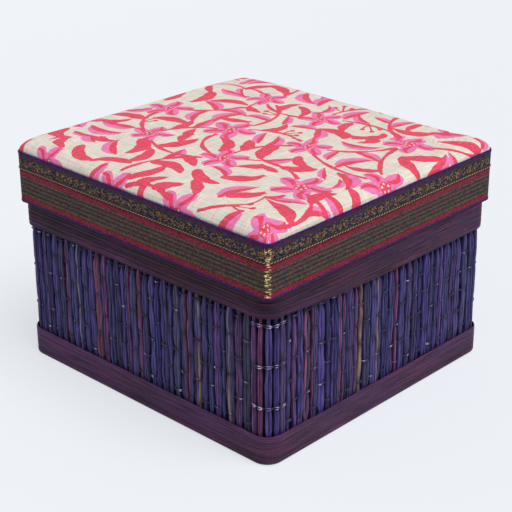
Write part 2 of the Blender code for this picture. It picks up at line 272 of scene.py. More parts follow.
def wrappedStrip(name, half, radius, seamX, spacing, profile, material, values):
    # a closed profile carried round a rounded rectangle, from one side of its seam to the other: the rule
    # profile(distance, length) gives how far out and how high its points lie at each station, and the way round
    # it for the UV; each of the values is a rule of the same kind
    length = sideStarts(half, radius)[1][-1]
    distance = np.linspace(seamGap / 2, length - seamGap / 2, int(length / spacing))
    base, normal = outlinePath(half, radius, seamPlace(half, radius, seamX) + distance)
    outwards, height, around = profile(distance, length)
    points = np.concatenate((base[:, None] + normal[:, None] * outwards[..., None], height[..., None]), axis=-1)
    uv = np.stack(np.broadcast_arrays(distance[:, None], around), axis=-1)
    values = {key: np.broadcast_to(rule(distance, length), outwards.shape) for key, rule in values.items()}
    return makePiece(name, points, tubeFaces(*outwards.shape), material, uv, values)


# The printed cotton over the lid, and the wadding under it

printLook = {
    "seed": 12, "spacing": 0.0455, "jitter": 0.0055, "origin": (-0.30, 0.004), "reach": (0.100, 0.098),
    "edge": 0.012, "blossomRadius": 0.0126, "blossomSizes": (0.84, 1.10), "petals": 5, "seeds": 5,
    "branchReach": 1.28, "bareShare": 0.46, "branchBow": (0.14, 0.30), "stemRadius": 0.00118,
    "leafLength": (0.0140, 0.0205), "leafWidth": (0.0025, 0.0034), "leafAngle": (0.55, 0.95),
    "leastWidth": 0.0006, "leafRoom": 0.0026, "leafPlaces": ((20, 1), (29, -1), (38, 1), (47, -1)),
    "pinkShare": 0.42, "berryShare": 0.16, "berryStem": 0.00075, "berryRadius": 0.00150, "berryLength": 0.6,
    "fillGap": 0.0047, "fillCount": 150, "fillLength": 0.0190,
}


def bow(start, end, bulge, count):   # a bowed line: the chord plus bulge * 4 t (1 - t) across it
    start, end = np.array(start), np.array(end)
    t = np.linspace(0, 1, count)[:, None]
    chord = end - start
    return start + chord * t + np.array((-chord[1], chord[0])) * bulge * 4 * t * (1 - t)


def heading(start, angle, length):
    return start[0] + length * math.cos(angle), start[1] + length * math.sin(angle)


def printFields(xs, ys):   # for each ink the distance to its shapes at every point of the cloth, below 0 inside
    look = printLook
    rng = np.random.RandomState(look["seed"])
    fields = {ink: np.full((len(xs), len(ys)), look["edge"]) for ink in ("pink", "coral", "cream")}
    spacing = look["spacing"]

    def brush(ink, path, radii):   # a chain of discs: |p - c| - r
        for (cx, cy), radius in zip(path, radii):
            span = look["edge"] + radius
            i0, i1 = np.searchsorted(xs, (cx - span, cx + span))
            j0, j1 = np.searchsorted(ys, (cy - span, cy + span))
            if i0 < i1 and j0 < j1:
                window = fields[ink][i0:i1, j0:j1]
                away = np.hypot(xs[i0:i1, None] - cx, ys[None, j0:j1] - cy) - radius
                np.minimum(window, away, out=window)

    def roomAt(point):   # the distance from there to the nearest leaf or petal
        i, j = (min(np.searchsorted(line, place), len(line) - 1) for line, place in zip((xs, ys), point))
        return min(fields["coral"][i, j], fields["pink"][i, j])

    def leaf(root, angle, length, width, curl, twoSided, room):
        # a stroke that fills out to a blunt tip, half width w (sin pi t^0.75)^0.6; the other kind is half pink
        tip = heading(root, angle, length)
        path = bow(root, tip, curl, 30)
        if min(roomAt(path[15]), roomAt(path[29])) < room:
            return
        t = np.linspace(0.02, 0.985, 30)
        swell = width * np.sin(math.pi * t ** 0.75) ** 0.6 * (1 + 0.07 * np.sin(17 * t + angle))
        if twoSided:
            lean = math.copysign(0.5 * width / length, curl)
            brush("pink", bow(root, tip, curl + 1.1 * lean, 30)[4:29], 0.74 * swell[4:29])
            path, swell = bow(root, tip, curl - 0.6 * lean, 30), 0.55 * swell
        brush("coral", path, np.maximum(swell, look["leastWidth"]))

    def blossom(centre, radius, turn):
        # pink petals, 0.29 sin(pi (0.15 + t / 2)) wide, each with a coral stroke and a vein, round a coral heart
        t = np.linspace(0, 1, 20)
        for number in range(look["petals"]):
            angle = turn + 2 * math.pi * number / look["petals"]
            petal = bow(centre, heading(centre, angle, radius * 0.74), 0.05, 20)
            brush("pink", petal[6:], radius * 0.29 * np.sin(math.pi * (0.15 + 0.5 * t[6:])))
            root, tip = (heading(centre, angle + turned, radius * share)
                         for turned, share in ((0.50, 0.30), (0.16, 1.02)))
            brush("coral", bow(root, tip, -0.28, 20), radius * (0.035 + 0.075 * np.sin(math.pi * t ** 0.8)))
            vein = bow(centre, heading(centre, angle - 0.08, radius * 0.66), 0.03, 20)
            brush("coral", vein, radius * (0.055 - 0.035 * t))
        brush("coral", [centre], [radius * 0.25])
        for number in range(look["seeds"]):
            brush("cream", [heading(centre, turn + number * 1.257, radius * 0.155)], [radius * 0.052])

    def berries(root, angle, length):
        for side in (-0.55, 0.0, 0.55):
            end = heading(root, angle + side, length * (1.0 if side == 0 else 0.8))
            brush("coral", bow(root, end, 0.15 * side, 14), np.full(14, look["berryStem"]))
            brush("coral", [end], [look["berryRadius"]])

    centres = []
    for row in range(-3, 4):
        for column in range(-3, 4):
            x = (column + 0.5 * (row % 2)) * spacing + look["origin"][0] * spacing
            y = row * spacing * 0.866 + look["origin"][1]
            x, y = np.array((x, y)) + rng.uniform(-1, 1, 2) * look["jitter"]
            if abs(x) < look["reach"][0] and abs(y) < look["reach"][1]:
                centres.append((x, y))
    for centre in centres:
        blossom(centre, look["blossomRadius"] * rng.uniform(*look["blossomSizes"]), rng.uniform(0, 2))
    for number, centre in enumerate(centres):   # branches run from blossom to blossom
        for other in centres[number + 1:]:
            if math.dist(centre, other) > spacing * look["branchReach"] or rng.rand() < look["bareShare"]:
                continue
            path = bow(centre, other, rng.choice((-1, 1)) * rng.uniform(*look["branchBow"]), 70)
            thick = look["stemRadius"] * (1 + 0.22 * np.sin(np.arange(70) * 0.23 + rng.uniform(0, 6)))
            brush("coral", path[12:58], thick[12:58])
            for step, side in look["leafPlaces"]:
                along = path[step + 1] - path[step]
                angle = math.atan2(along[1], along[0]) + side * rng.uniform(*look["leafAngle"])
                length, width = rng.uniform(*look["leafLength"]) * 0.85, rng.uniform(*look["leafWidth"])
                if rng.rand() < look["berryShare"]:
                    length *= look["berryLength"]
                    if roomAt(heading(path[step], angle, length)) > look["leafRoom"]:
                        berries(path[step], angle, length)
                    continue
                leaf(path[step], angle, length, width, side * rng.uniform(-0.24, -0.04),
                     rng.rand() < look["pinkShare"], look["leafRoom"])
    for _ in range(look["fillCount"]):   # loose leaves lie in the widest bare places left
        bare = np.minimum(fields["coral"], fields["pink"])
        spot = np.unravel_index(np.argmax(bare), bare.shape)
        gap = bare[spot]
        if gap < look["fillGap"]:
            break
        angle, length = rng.uniform(0, 2 * math.pi), min(gap * 2.7, look["fillLength"])
        start = heading((xs[spot[0]], ys[spot[1]]), angle + math.pi, 0.5 * length)
        leaf(start, angle, length, length * rng.uniform(0.15, 0.20),
             rng.choice((-1, 1)) * rng.uniform(0.05, 0.24), rng.rand() < 0.45, -1)
    return fields


clothLook = {
    "grid": 0.00062, "padGrid": 0.0022, "thickness": 0.0005, "padGap": 0.0003, "shoulderRise": 0.0050,
    "shoulderRun": 0.0080, "crownRise": 0.0012, "edgeRadius": 0.0023, "topRadius": 0.0140, "ripple": 0.00016,
    "fuller": 0.20,   # more wadding in front, and its corners, from the front left round by the right
    "cornerFuller": ((-1, -1, 0.08), (1, -1, 0.0), (1, 1, 0.42), (-1, 1, -0.45)), "cornerReach": 0.018,
    "rippleReach": 0.006, "turnedIn": 0.0028, "fill": 0.8, "threadsPerMetre": 1250, "cream": (230, 220, 208),
    "inkEdge": 0.00008, "fray": 0.00030,   # and each ink's colour, and how far it starts inside a shape's edge
    "inks": (("pink", (241, 126, 182), 0.00020), ("coral", (233, 73, 101), 0.00020),
             ("cream", (230, 220, 208), 0.0)),
    "innerRings": (0.0002, 0.0008, 0.0016, 0.0026, 0.0038, 0.0050, 0.0090, 0.0200, 0.0400, 0.0600, 0.0735),
}


def cottonFinish():
    look = clothLook
    made = Finish("printedCotton", roughness=0.9, specular=0.08, sheen=0.10)
    count, edge = look["threadsPerMetre"], look["inkEdge"]
    chance = made.add("VectorMath", {0: made.place(count, count)}, operation="FLOOR")
    chance = made.add("TexWhiteNoise", {"Vector": chance}, "Value")
    warp = made.noise(count, count / 16, detail=1.0)
    slub = warp + made.noise(count / 16, count, detail=1.0, offset=(3.1, 7.7, 0))   # thick places along threads
    cross = made.add("TexWave", {"Vector": made.place(count / 2, 1), "Scale": 0.3183}, "Fac")
    fell = made.add("TexWave", {"Vector": made.place(1, count / 2), "Scale": 0.3183}, "Fac", bands_direction="Y")
    weave = cross * fell
    blotch = made.noise(110, 110, detail=3.0)
    fray = (slub - 1.0) * look["fray"]
    colour = linear(*look["cream"])
    for ink, shade, back in look["inks"]:   # the ink thins out where a thread stands up
        laid = (made.value(ink) + fray).span(-edge - back, edge - back, 1.0, 0.0)
        colour = made.mix(laid * chance.span(0.55, 1.0, 1.0, 0.92), colour, linear(*shade))
    tone = slub.span(0.6, 1.4, 0.78, 1.14) * blotch.span(0.3, 0.7, 0.96, 1.03) * weave.span(0, 1, 0.98, 1.06)
    return made.finish(made.dim(colour, tone), height=slub + weave * 0.6, depth=0.00018)


def waddingFinish():
    made = Finish("wadding", roughness=0.95, specular=0.05, sheen=0.2)
    fibre = made.noise(900, 900, 900, detail=4.0, roughness=0.7)
    colour = made.dim(linear(226, 221, 208), fibre.span(0.3, 0.7, 0.84, 1.08))
    return made.finish(colour, height=fibre, depth=0.0004)


def domeLevel(x, y, inset, sunk):
    # points over the lid: a quarter ellipse over the shoulder, corners pulled in to a radius that grows over it,
    # and a crown, (1 - x^2/a^2)(1 - y^2/b^2), all scaled by the fullness of the wadding there
    look = clothLook
    half = halfSize("lid_cover") - sunk
    run, edgeRadius = look["shoulderRun"] - sunk, look["edgeRadius"] - sunk
    flatHalf = half - run
    share = np.clip(inset / run, 0, 1)
    radius = edgeRadius + (look["topRadius"] - edgeRadius) * share
    radius = radius * np.clip((half.min() - inset) / flatHalf.min(), 0, 1)
    beyondX = np.abs(x) - (half[0] - inset - radius)
    beyondY = np.abs(y) - (half[1] - inset - radius)
    corner = (beyondX > 0) & (beyondY > 0)
    pull = np.minimum(radius / np.maximum(np.hypot(beyondX, beyondY), 1e-9), 1.0) - 1
    x = x + np.where(corner, np.sign(x) * beyondX * pull, 0)
    y = y + np.where(corner, np.sign(y) * beyondY * pull, 0)
    swell = np.maximum(0, 1 - (x / flatHalf[0]) ** 2) * np.maximum(0, 1 - (y / flatHalf[1]) ** 2)
    rng, angles = np.random.RandomState(11), (0.3, 1.4, 2.5)
    ripple = sum(drift(x * math.cos(a) + y * math.sin(a), 0.16, (1.3, 2.9, 4.7), rng) for a in angles) / 3
    lift = look["shoulderRise"] * np.sqrt(1 - (1 - share) ** 2) + look["crownRise"] * swell
    full = 1 - look["fuller"] * y / half[1]
    for sideX, sideY, more in look["cornerFuller"]:
        away = np.hypot(x - sideX * half[0], y - sideY * half[1])
        full = full * (1 + more * np.exp(-(away / look["cornerReach"]) ** 2))
    ripple = look["ripple"] * ripple * np.clip(inset / look["rippleReach"], 0, 1)
    return np.stack((x, y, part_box("brocade_ribbon")[1].z - sunk + lift * full + ripple), axis=-1)


def domeGrid(step, sunk):
    # the dome as a grid, cut in even lengths of cloth; also gives the cuts, counted from the middle
    look = clothLook
    half = halfSize("lid_cover") - sunk
    run = look["shoulderRun"] - sunk
    angles = np.linspace(0, math.pi / 2, 181)
    steps = np.hypot(np.diff(run * np.cos(angles)), np.diff(look["shoulderRise"] * np.sin(angles)))
    arc = np.concatenate(([0], np.cumsum(steps)))
    sizes = half - run + arc[-1]
    cuts = [np.linspace(-size, size, 2 * int(round(size / step)) + 1) for size in sizes]

    def insetAt(along):
        return run * (1 - np.cos(np.interp(along, arc, angles))) + np.maximum(along - arc[-1], 0)

    lines = [np.sign(cut) * (half[axis] - insetAt(sizes[axis] - np.abs(cut))) for axis, cut in enumerate(cuts)]
    x, y = np.meshgrid(lines[0], lines[1], indexing="ij")
    fromEdge = np.minimum((sizes[0] - np.abs(cuts[0]))[:, None], (sizes[1] - np.abs(cuts[1]))[None, :])
    return domeLevel(x, y, insetAt(fromEdge), sunk), cuts


def hungFaces(top, rings):
    # faces of a grid with closed rings of points hung on its edge, the last one filled; and the edge's numbers
    rows, columns = top.shape[:2]
    index = np.arange(rows * columns).reshape(rows, columns)
    rim = np.concatenate((index[:-1, 0], index[-1, :-1], index[:0:-1, -1], index[0, :0:-1]))
    around, start = len(rim), rows * columns
    number = start + np.arange(around)
    join = np.stack((rim, np.roll(rim, -1), np.roll(number, -1), number), -1)
    skirt = gridFaces(rings, around, closeColumns=True) + start
    return [gridFaces(rows, columns), join, skirt, (number + (rings - 1) * around)[None, ::-1]], rim


def makePad():   # the same dome, under the cloth, on a flat bottom
    look = clothLook
    top = domeGrid(look["padGrid"], look["thickness"] + look["padGap"])[0]
    faces, rim = hungFaces(top, 2)
    edge = top.reshape(-1, 3)[rim]
    bottom = np.full(len(edge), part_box("lid_pad")[0].z)
    rings = [np.column_stack((edge[:, :2] * share, bottom)) for share in (1, 0.97)]
    pad = makePiece("lidPad", np.concatenate((top.reshape(-1, 3), *rings)), faces, waddingFinish())
    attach(pad, "lid")
    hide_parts("lid_pad")


def makeCloth():   # the dome, and round it rings that go down behind the ribbon, turn in and come back up inside
    look = clothLook
    bottom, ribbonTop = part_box("lid_cover")[0].z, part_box("brocade_ribbon")[1].z
    half, thickness, radius = halfSize("lid_cover"), look["thickness"], look["edgeRadius"]
    top, cuts = domeGrid(look["grid"], 0.0)
    print("  cloth grid", top.shape)
    # the rings, each this far inwards and at this height; the inner side, which the pad hides, is coarser
    levels = [(0, z) for z in np.linspace(ribbonTop, bottom + 0.0004, 8)[1:]]
    levels += [(0.0003, bottom), (look["turnedIn"], bottom), (look["turnedIn"], bottom + thickness)]
    levels += [(thickness, bottom + thickness), (thickness, ribbonTop - 0.0005)]
    steps = len(levels) + len(look["innerRings"])
    faces, rim = hungFaces(top, steps)
    edge = top.reshape(-1, 3)[rim]
    centre = np.sign(edge[:, :2]) * np.minimum(np.abs(edge[:, :2]), half - radius)
    away = edge[:, :2] - centre
    unit = away / np.maximum(np.linalg.norm(away, axis=1, keepdims=True), 1e-9)
    rings = []
    for inset, height in levels:
        level = centre + unit * max(radius - inset, 0.0001)
        if inset > radius:
            level = level - np.sign(centre) * np.minimum(np.abs(centre), inset - radius) * (np.abs(unit) > 0.02)
        rings.append(np.column_stack((level, np.full(len(level), height))))
    for inset in look["innerRings"]:
        level = edge[:, :2] * (half - thickness - inset) / half
        rings.append(domeLevel(level[:, 0], level[:, 1], inset, thickness))
    below = np.stack(rings)
    points = np.concatenate((top.reshape(-1, 3), below.reshape(-1, 3)))
    uvTop = np.stack(np.meshgrid(*cuts, indexing="ij"), axis=-1).reshape(-1, 2)
    drop = np.cumsum(np.concatenate(([0.003], np.linalg.norm(np.diff(below, axis=0), axis=-1).mean(1))))
    outwards = edge[:, :2] / np.linalg.norm(edge[:, :2], axis=1, keepdims=True)
    uvBelow = (uvTop[rim][None] + outwards[None] * drop[:, None, None]).reshape(-1, 2)
    values = {key: np.concatenate((field.ravel(), np.tile(field.ravel()[rim], steps)))
              for key, field in printFields(*cuts).items()}
    cloth = makePiece("lidCloth", points, faces, cottonFinish(), np.concatenate((uvTop, uvBelow)), values, 70)
    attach(cloth, "lid")
    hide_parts("lid_cover")


makePad()
makeCloth()
print("lid cloth and wadding made")

# The brocade ribbon round the lid's skirt, and the twisted gold cord on it

ribbonLook = {
    "spacing": 0.00070, "facePoints": 75, "radius": 0.0037, "seamShare": -0.62, "hem": 0.0012,
    "hemProud": 0.0002, "depth": 0.0008, "bendReach": 0.0027, "headIn": 0.00025,
    "footOut": (0.00020, -0.00040, 0.0, -0.00040), "wear": (1.04, 0.8, 0.8, 0.8),   # front right corner first
    "ribHeight": 0.000035, "ribPitch": 0.00082, "lean": 0.00012, "edge": 0.00010, "overlap": 0.0008,
    "cordDrop": 0.0081, "cordIn": 0.00014, "strandRadius": 0.00017, "twistRadius": 0.00015, "twistPitch": 0.0017,
    "twistSteps": 8, "around": 6,
    "strands": (("giltStrand", 0.0, (190, 154, 102), 1.0), ("darkStrand", math.pi, (40, 28, 34), 1.1)),
    # the weave, in millimetres along the ribbon or down from its top edge
    "thread": 0.40, "floatLength": 0.70, "dashLength": 1.5, "twillLength": 1.3, "wander": 0.20,
    "motifLength": 9.0, "motifMiddle": 4.95, "figured": (2.8, 7.1), "finelyStriped": (11.7, 21.1),
    "glinting": (1.8, 23.2), "goldShare": 0.56, "fleckShare": 0.88,
    "yarns": {
        "indigo": (50, 30, 86), "wine": (80, 24, 34), "crimson": (120, 34, 53), "slate": (54, 49, 66),
        "ground": (20, 16, 34), "dusk": (36, 28, 36), "olive": (88, 77, 60), "brown": (80, 52, 43),
        # gilt: the pale colour of the painted glint at the corners
        "teal": (60, 74, 72), "blue": (46, 40, 88), "gold": (134, 102, 56), "gilt": (255, 224, 152),
    },
    "stripes": (   # yarns and widths in millimetres, from the top edge down
        ("indigo", 1.1), ("wine", 0.7), ("slate", 1.0), ("ground", 4.2), ("slate", 0.6), ("dusk", 0.9),
        ("wine", 0.7), ("crimson", 2.5), ("olive", 0.6), ("slate", 0.4), ("dusk", 0.5), ("brown", 0.5),
        *(("olive", 0.5), ("slate", 0.5), ("dusk", 0.5), ("brown", 0.5)) * 3,
        ("olive", 0.8), ("wine", 0.6), ("crimson", 2.3), ("indigo", 1.2),
    ),
}


def brocadeFinish():
    look = ribbonLook
    thread, floats, repeat = look["thread"], look["floatLength"], look["motifLength"]
    yarns = {name: linear(*shade) for name, shade in look["yarns"].items()}
    made = Finish("brocade", roughness=0.6, specular=0.08, sheen=0.03)
    along = made.add("SeparateXYZ", {0: made.place(1000, 1000)})   # millimetres along and down
    down = Signal(made, along.socket.node.outputs[1])
    row = (down / thread).of("FLOOR")
    column = (along / floats + row.of("FLOORED_MODULO", 2.0) * 0.5).of("FLOOR")
    chance, rowChance = made.cells(column, row), made.cells(0.0, row, 4.0)
    widths = np.cumsum([0] + [width for _, width in look["stripes"]])
    stops = [(start / widths[-1], look["yarns"][name]) for start, (name, _) in zip(widths, look["stripes"])]
    wander = (made.noise(300, 1) - 0.5) * look["wander"]
    base = made.ramp((down + wander) / widths[-1], stops, "CONSTANT")
    tone = chance.span(0, 1, 0.44, 1.48) + rowChance.span(0, 1, -0.08, 0.08)
    twill = row.of("MULTIPLY_ADD", 0.37, along / look["twillLength"]).of("FRACT")
    tone = tone * abs(twill - 0.5).span(0.05, 0.45, 0.62, 1.40)
    turn = (column * floats / repeat).of("FRACT") * repeat
    dx, dy = turn - repeat * 0.25, (row + 0.5) * thread - look["motifMiddle"]
    petal = abs((dy.of("ARCTAN2", dx) * 2.5).of("COSINE")).of("MULTIPLY_ADD", 0.80, 1.15)
    reach = (dx * dx + dy * dy).of("SQRT") / petal   # a flower: r < 1.15 + 0.80 |cos 2.5 a|
    lozenge = abs(turn - repeat * 0.75) / 2.0 + abs(dy) / 2.2   # a lozenge: |x| / 2 + |y| / 2.2 < 1
    figure = reach.within(0.42, 1.0) + (reach < 0.22) + lozenge.within(0.55, 1.0) + (lozenge < 0.28)
    band, striped = down.within(*look["figured"]), down.within(*look["finelyStriped"])
    goldMask = figure.of("MINIMUM", 1.0) * band * (chance > look["goldShare"])
    flecks = made.cells(column, row, 9.0)   # single floats of other yarns
    mottled = (band * 0.7).of("MAXIMUM", striped * 0.50)
    for where, low, high, yarn in ((mottled, 0.0, 0.16, "brown"), (mottled, 0.16, 0.34, "teal"),
                                   (band, 0.34, 0.55, "blue")):
        base = made.mix(where * flecks.within(low, high), base, yarns[yarn])
    fleck = band.of("MAXIMUM", striped * 0.22) * (flecks > look["fleckShare"])
    goldMask = goldMask.of("MAXIMUM", fleck * 0.8)
    # where the ribbon turns a corner worn gilt threads show, with a painted glint: their pale gilt colour is
    # mixed over the weave, strongest at the front right corner
    dash = rowChance.of("MULTIPLY_ADD", 5.0, along / look["dashLength"]).of("FLOOR")
    worn = down.within(*look["glinting"]) * (made.value("bend") * made.cells(dash, row, 13.0))
    worn = worn.span(0.60, 0.80) * chance.span(0.1, 0.6, 0.15, 1.0)
    gold = made.dim(yarns["gold"], made.cells(row, column).span(0, 1, 0.6, 1.4))
    colour = made.mix(worn, made.mix(goldMask, made.dim(base, tone), gold), yarns["gilt"])
    weft, warp = (abs((way * (math.pi / size)).of("SINE")) for way, size in ((down, thread), (along, floats)))
    height = weft + warp * 0.5 + goldMask
    return made.finish(colour, worn.span(0, 1, 0.62, 0.36), height, 0.00009, worn * 0.35)


def goldFinish(name, colour):
    made = Finish(name, roughness=0.42, specular=0.4)
    made.shader.inputs["Metallic"].default_value = 0.5
    lines = made.noise(300, 9000, detail=1.0)
    return made.finish(made.dim(linear(*colour), lines.span(0.3, 0.7, 0.6, 1.25)), height=lines, depth=0.00006)


def ribbonCourse():   # half size, where the seam is, and the distance along the outline to it
    half = halfSize("brocade_ribbon")
    seam = ribbonLook["seamShare"] * half[0]
    return half, seam, seamPlace(half, ribbonLook["radius"], seam), sideStarts(half, ribbonLook["radius"])[1]


def atCorners(distance, amounts):   # an amount in the middle of each corner, times exp(-(s / reach)^2) beside it
    starts = ribbonCourse()[3]
    corners = starts[1:] - ribbonLook["radius"] * math.pi / 4
    away = np.mod(distance[:, None], starts[-1]) - corners[None]
    return (np.exp(-(away / ribbonLook["bendReach"]) ** 2) @ amounts)[:, None]


def cornerOut(distance, share):   # how far the corners stand out at a share of the height
    foot = atCorners(distance, ribbonLook["footOut"])
    return foot * (1 - share) - ribbonLook["headIn"] * share * atCorners(distance, np.ones(4))


def makeRibbon():
    look = ribbonLook
    low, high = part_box("brocade_ribbon")
    half, seam, origin, starts = ribbonCourse()
    width = high.z - low.z
    rng = np.random.RandomState(21)

    def profile(distance, length):   # a half round at each hem, ribs sin(2 pi h / 0.82 mm) between, and the back
        h = np.linspace(0, width, look["facePoints"])
        fromEdge = np.minimum(h, width - h)
        hem = np.sqrt(np.clip(1 - ((fromEdge - look["hem"] / 2) / (look["hem"] / 2)) ** 2, 0, 1))
        hem = np.where(fromEdge < look["hem"], hem, 0)
        rib = look["ribHeight"] * np.sin(2 * math.pi * h / look["ribPitch"])
        face = -look["hemProud"] + look["hemProud"] * hem + rib
        wave, edge = (drift(distance, length, waves, rng)[:, None]
                      for waves in ((9, 17, 31, 53), (23, 41, 77, 131)))
        heights = np.concatenate((h, (width, 0)))
        lean = np.concatenate((h / width - 0.5, (0, 0)))
        outwards = np.concatenate((face, (-look["depth"], -look["depth"]))) + look["lean"] * wave * lean
        outwards += cornerOut(origin + distance, heights / width)
        around = np.concatenate((width - h, (-look["overlap"], width + look["overlap"])))[None]
        return outwards, low.z + heights + look["edge"] * edge * np.where(heights > width / 2, 1, 0.6), around

    ribbon = wrappedStrip("brocadeRibbon", half, look["radius"], seam, look["spacing"], profile, brocadeFinish(),
                          {"bend": lambda distance, length: atCorners(origin + distance, look["wear"])})
    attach(ribbon, "lid")
    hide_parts("brocade_ribbon")


def tubeRing(path, radius, around, closed):
    # a tube's points: path + radius (cos a * side + sin a * up), square to the path everywhere
    ahead = np.roll(path, -1, 0) - np.roll(path, 1, 0) if closed else np.gradient(path, axis=0)
    ahead /= np.linalg.norm(ahead, axis=1, keepdims=True)
    side = np.cross(ahead, (0, 0, 1.0))
    side /= np.linalg.norm(side, axis=1, keepdims=True)
    up = np.cross(side, ahead)
    angle = 2 * math.pi * np.arange(around) / around
    cos, sin = np.cos(angle)[None, :, None], np.sin(angle)[None, :, None]
    radius = np.broadcast_to(radius, len(path))[:, None, None]
    return path[:, None] + radius * (cos * side[:, None] + sin * up[:, None])


def makeGoldCord():
    # two strands wound round each other on the ribbon: a gilt one and a dark one, cos and sin of 2 pi s / pitch
    look = ribbonLook
    low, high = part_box("brocade_ribbon")
    half, seam, origin, starts = ribbonCourse()
    count, around = int(starts[-1] / look["twistPitch"] * look["twistSteps"]), look["around"]
    distance = np.linspace(seamGap, starts[-1] - seamGap, count)
    base, normal = outlinePath(half, look["radius"], origin + distance)
    proud = cornerOut(origin + distance, 1 - look["cordDrop"] / (high.z - low.z))[:, 0] - look["cordIn"]
    for name, phase, colour, share in look["strands"]:
        turn = 2 * math.pi * distance / look["twistPitch"] + phase
        outwards = proud + look["twistRadius"] * np.cos(turn)
        path = np.column_stack((base + normal * outwards[:, None],
                                high.z - look["cordDrop"] + look["twistRadius"] * np.sin(turn)))
        points = tubeRing(path, look["strandRadius"] * share, around, False)
        uv = np.stack(np.broadcast_arrays(distance[:, None], np.arange(around)[None] * 0.0003), axis=-1)
        strand = makePiece(name, points, tubeFaces(count, around), goldFinish(name, colour), uv)
        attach(strand, "lid")


makeRibbon()
makeGoldCord()
print("ribbon and gold cord made")

# The mat of reeds, and the threads that bind it

reedLook = {
    "seed": 5, "stations": 58, "around": 10, "squareness": 0.4, "halfDepth": 0.00135, "depths": (0.82, 1.0),
    "drop": 0.0006, "bundleGap": (0.00055, 0.00150), "wide": 0.0013, "wideStems": (2, 2, 2, 3, 3, 4),
    "narrowStems": (1, 2, 2), "stitchTop": 0.0650, "stitchStep": 0.00960, "stitchRows": 6, "stitchReach": 0.0023,
    "cornerReach": 0.0090, "squeeze": 0.17, "swell": 0.05, "press": 0.00028, "sway": 0.00036,
    "stemSway": 0.00038, "steady": 0.4, "fullness": 0.93, "stemSwell": 0.12, "endPress": 0.0009,
    "rimSqueeze": 0.48, "rimReach": 0.0042, "footSqueeze": 0.20, "footReach": 0.0016,
    "shades": (0.86, 1.42), "nearShade": 0.80, "stitchShadow": 0.26, "creviceShade": 0.38,
    "calmReach": 0.1, "calmShade": 1.06, "calming": 0.6, "calmCreviceShade": 0.16, "alike": 0.50, "tintDrift": 0.02,
    "colours": (
        (0.00, (47, 44, 88)), (0.20, (61, 55, 106)), (0.36, (64, 52, 114)), (0.46, (60, 61, 97)),
        (0.54, (48, 42, 64)), (0.62, (80, 60, 112)), (0.72, (96, 50, 92)), (0.80, (96, 56, 88)),
        (0.90, (98, 56, 84)), (0.93, (124, 106, 88)), (0.97, (120, 106, 92)), (1.00, (94, 96, 136)),
    ),
    # the share of stems up to each tint; plum and rose ones lie round the front right corner
    "tints": (0.0, 0.40, 0.50, 0.62, 0.76, 0.88, 0.93, 0.97, 1.0),
    "shares": (0.0, 0.70, 0.79, 0.86, 0.93, 0.955, 0.96, 0.99, 1.0),
    "plumShares": (0.0, 0.34, 0.44, 0.56, 0.82, 0.92, 0.93, 0.99, 1.0),
    "plumReach": (-0.036, 0.060),
    "cornerTints": (0.48, 0.70, 0.77, 0.33, 0.31, 0.62),
}
sideNames = ("front", "right", "back", "left")
cornerNames = ("front_right", "back_right", "back_left", "front_left")
reedHalf = np.array((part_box("right_reeds")[1].x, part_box("back_reeds")[1].y))
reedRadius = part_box("right_reeds")[1].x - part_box("front_right_corner_reeds")[0].x
reedStarts = sideStarts(reedHalf, reedRadius)[1]

# how far the rim band's lower and the base band's upper edge run off level: places round the box in sides, 0 to
# 1 along the front, 1 to 2 along the right and so on, and the rise there in millimetres
rimEdge = ((0.05, 0.5, 0.95, 1.03, 1.2, 1.4, 1.95, 2.2, 3.0, 3.6),
           (-0.2, 0.2, 1.4, 1.0, -1.2, -2.2, -2.3, -1.2, 0.3, -0.4))
footEdge = ((0.1, 0.9, 1.15, 1.9, 2.3, 3.5), (0.1, 0.0, -0.6, -0.5, 0.1, 0.2))


def edgeRise(distance, edge, half, radius):
    length = sideStarts(half, radius)[1]
    side = np.interp(np.mod(distance, length[-1]), length, np.arange(5))
    return millimetre * np.interp(side, *edge, period=4)


def bundleEdges(node, side, isCorner):
    # where the CAD's reeds meet, as lengths along the mat: every other outer point at the foot is an edge
    co = np.array([vertex.co for vertex in nodes[node].data.vertices], float)
    foot = co[co[:, 2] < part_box("base_band")[1].z]
    cos, sin = math.cos(side * math.pi / 2), math.sin(side * math.pi / 2)
    x, y = foot[:, 0] * cos + foot[:, 1] * sin, foot[:, 1] * cos - foot[:, 0] * sin
    across = reedHalf[(side + 1) % 2]
    straight = reedHalf[side % 2] - reedRadius
    if isCorner:
        x, y = x - straight, y + across - reedRadius
        outer = np.abs(np.hypot(x, y) - reedRadius) < 0.0001
        along = 2 * straight + reedRadius * np.arctan2(x, -y)
    else:
        outer = np.abs(y + across) < 0.0001
        along = x + straight
    edges = np.unique(np.round(along[outer], 5))[::2]
    return edges + reedStarts[side]


def matBundles():   # every bundle's two edges along the mat, and the node that it belongs to
    edges, owners, names = [], [], []
    for side in range(4):
        for isCorner, words in ((False, sideNames[side]), (True, cornerNames[side] + "_corner")):
            found = bundleEdges(words + "_reeds", side, isCorner)
            edges.append(found[:-1])
            owners += [len(names)] * (len(found) - 1)
            names.append(words + "_reeds")
    starts = np.concatenate(edges)
    return starts, np.append(starts[1:], reedStarts[-1]), np.array(owners), names


matStarts, matEnds, matOwners, matNames = matBundles()
cornerSpot = reedStarts[1] - reedRadius * math.pi / 4   # the front right corner
fromCorner = (matStarts + matEnds) / 2 - cornerSpot
isFar = np.abs(fromCorner) >= reedLook["cornerReach"]
stitched = ((np.arange(len(matStarts)) * isFar)[:, None] + np.arange(reedLook["stitchRows"])) % 2 == 0


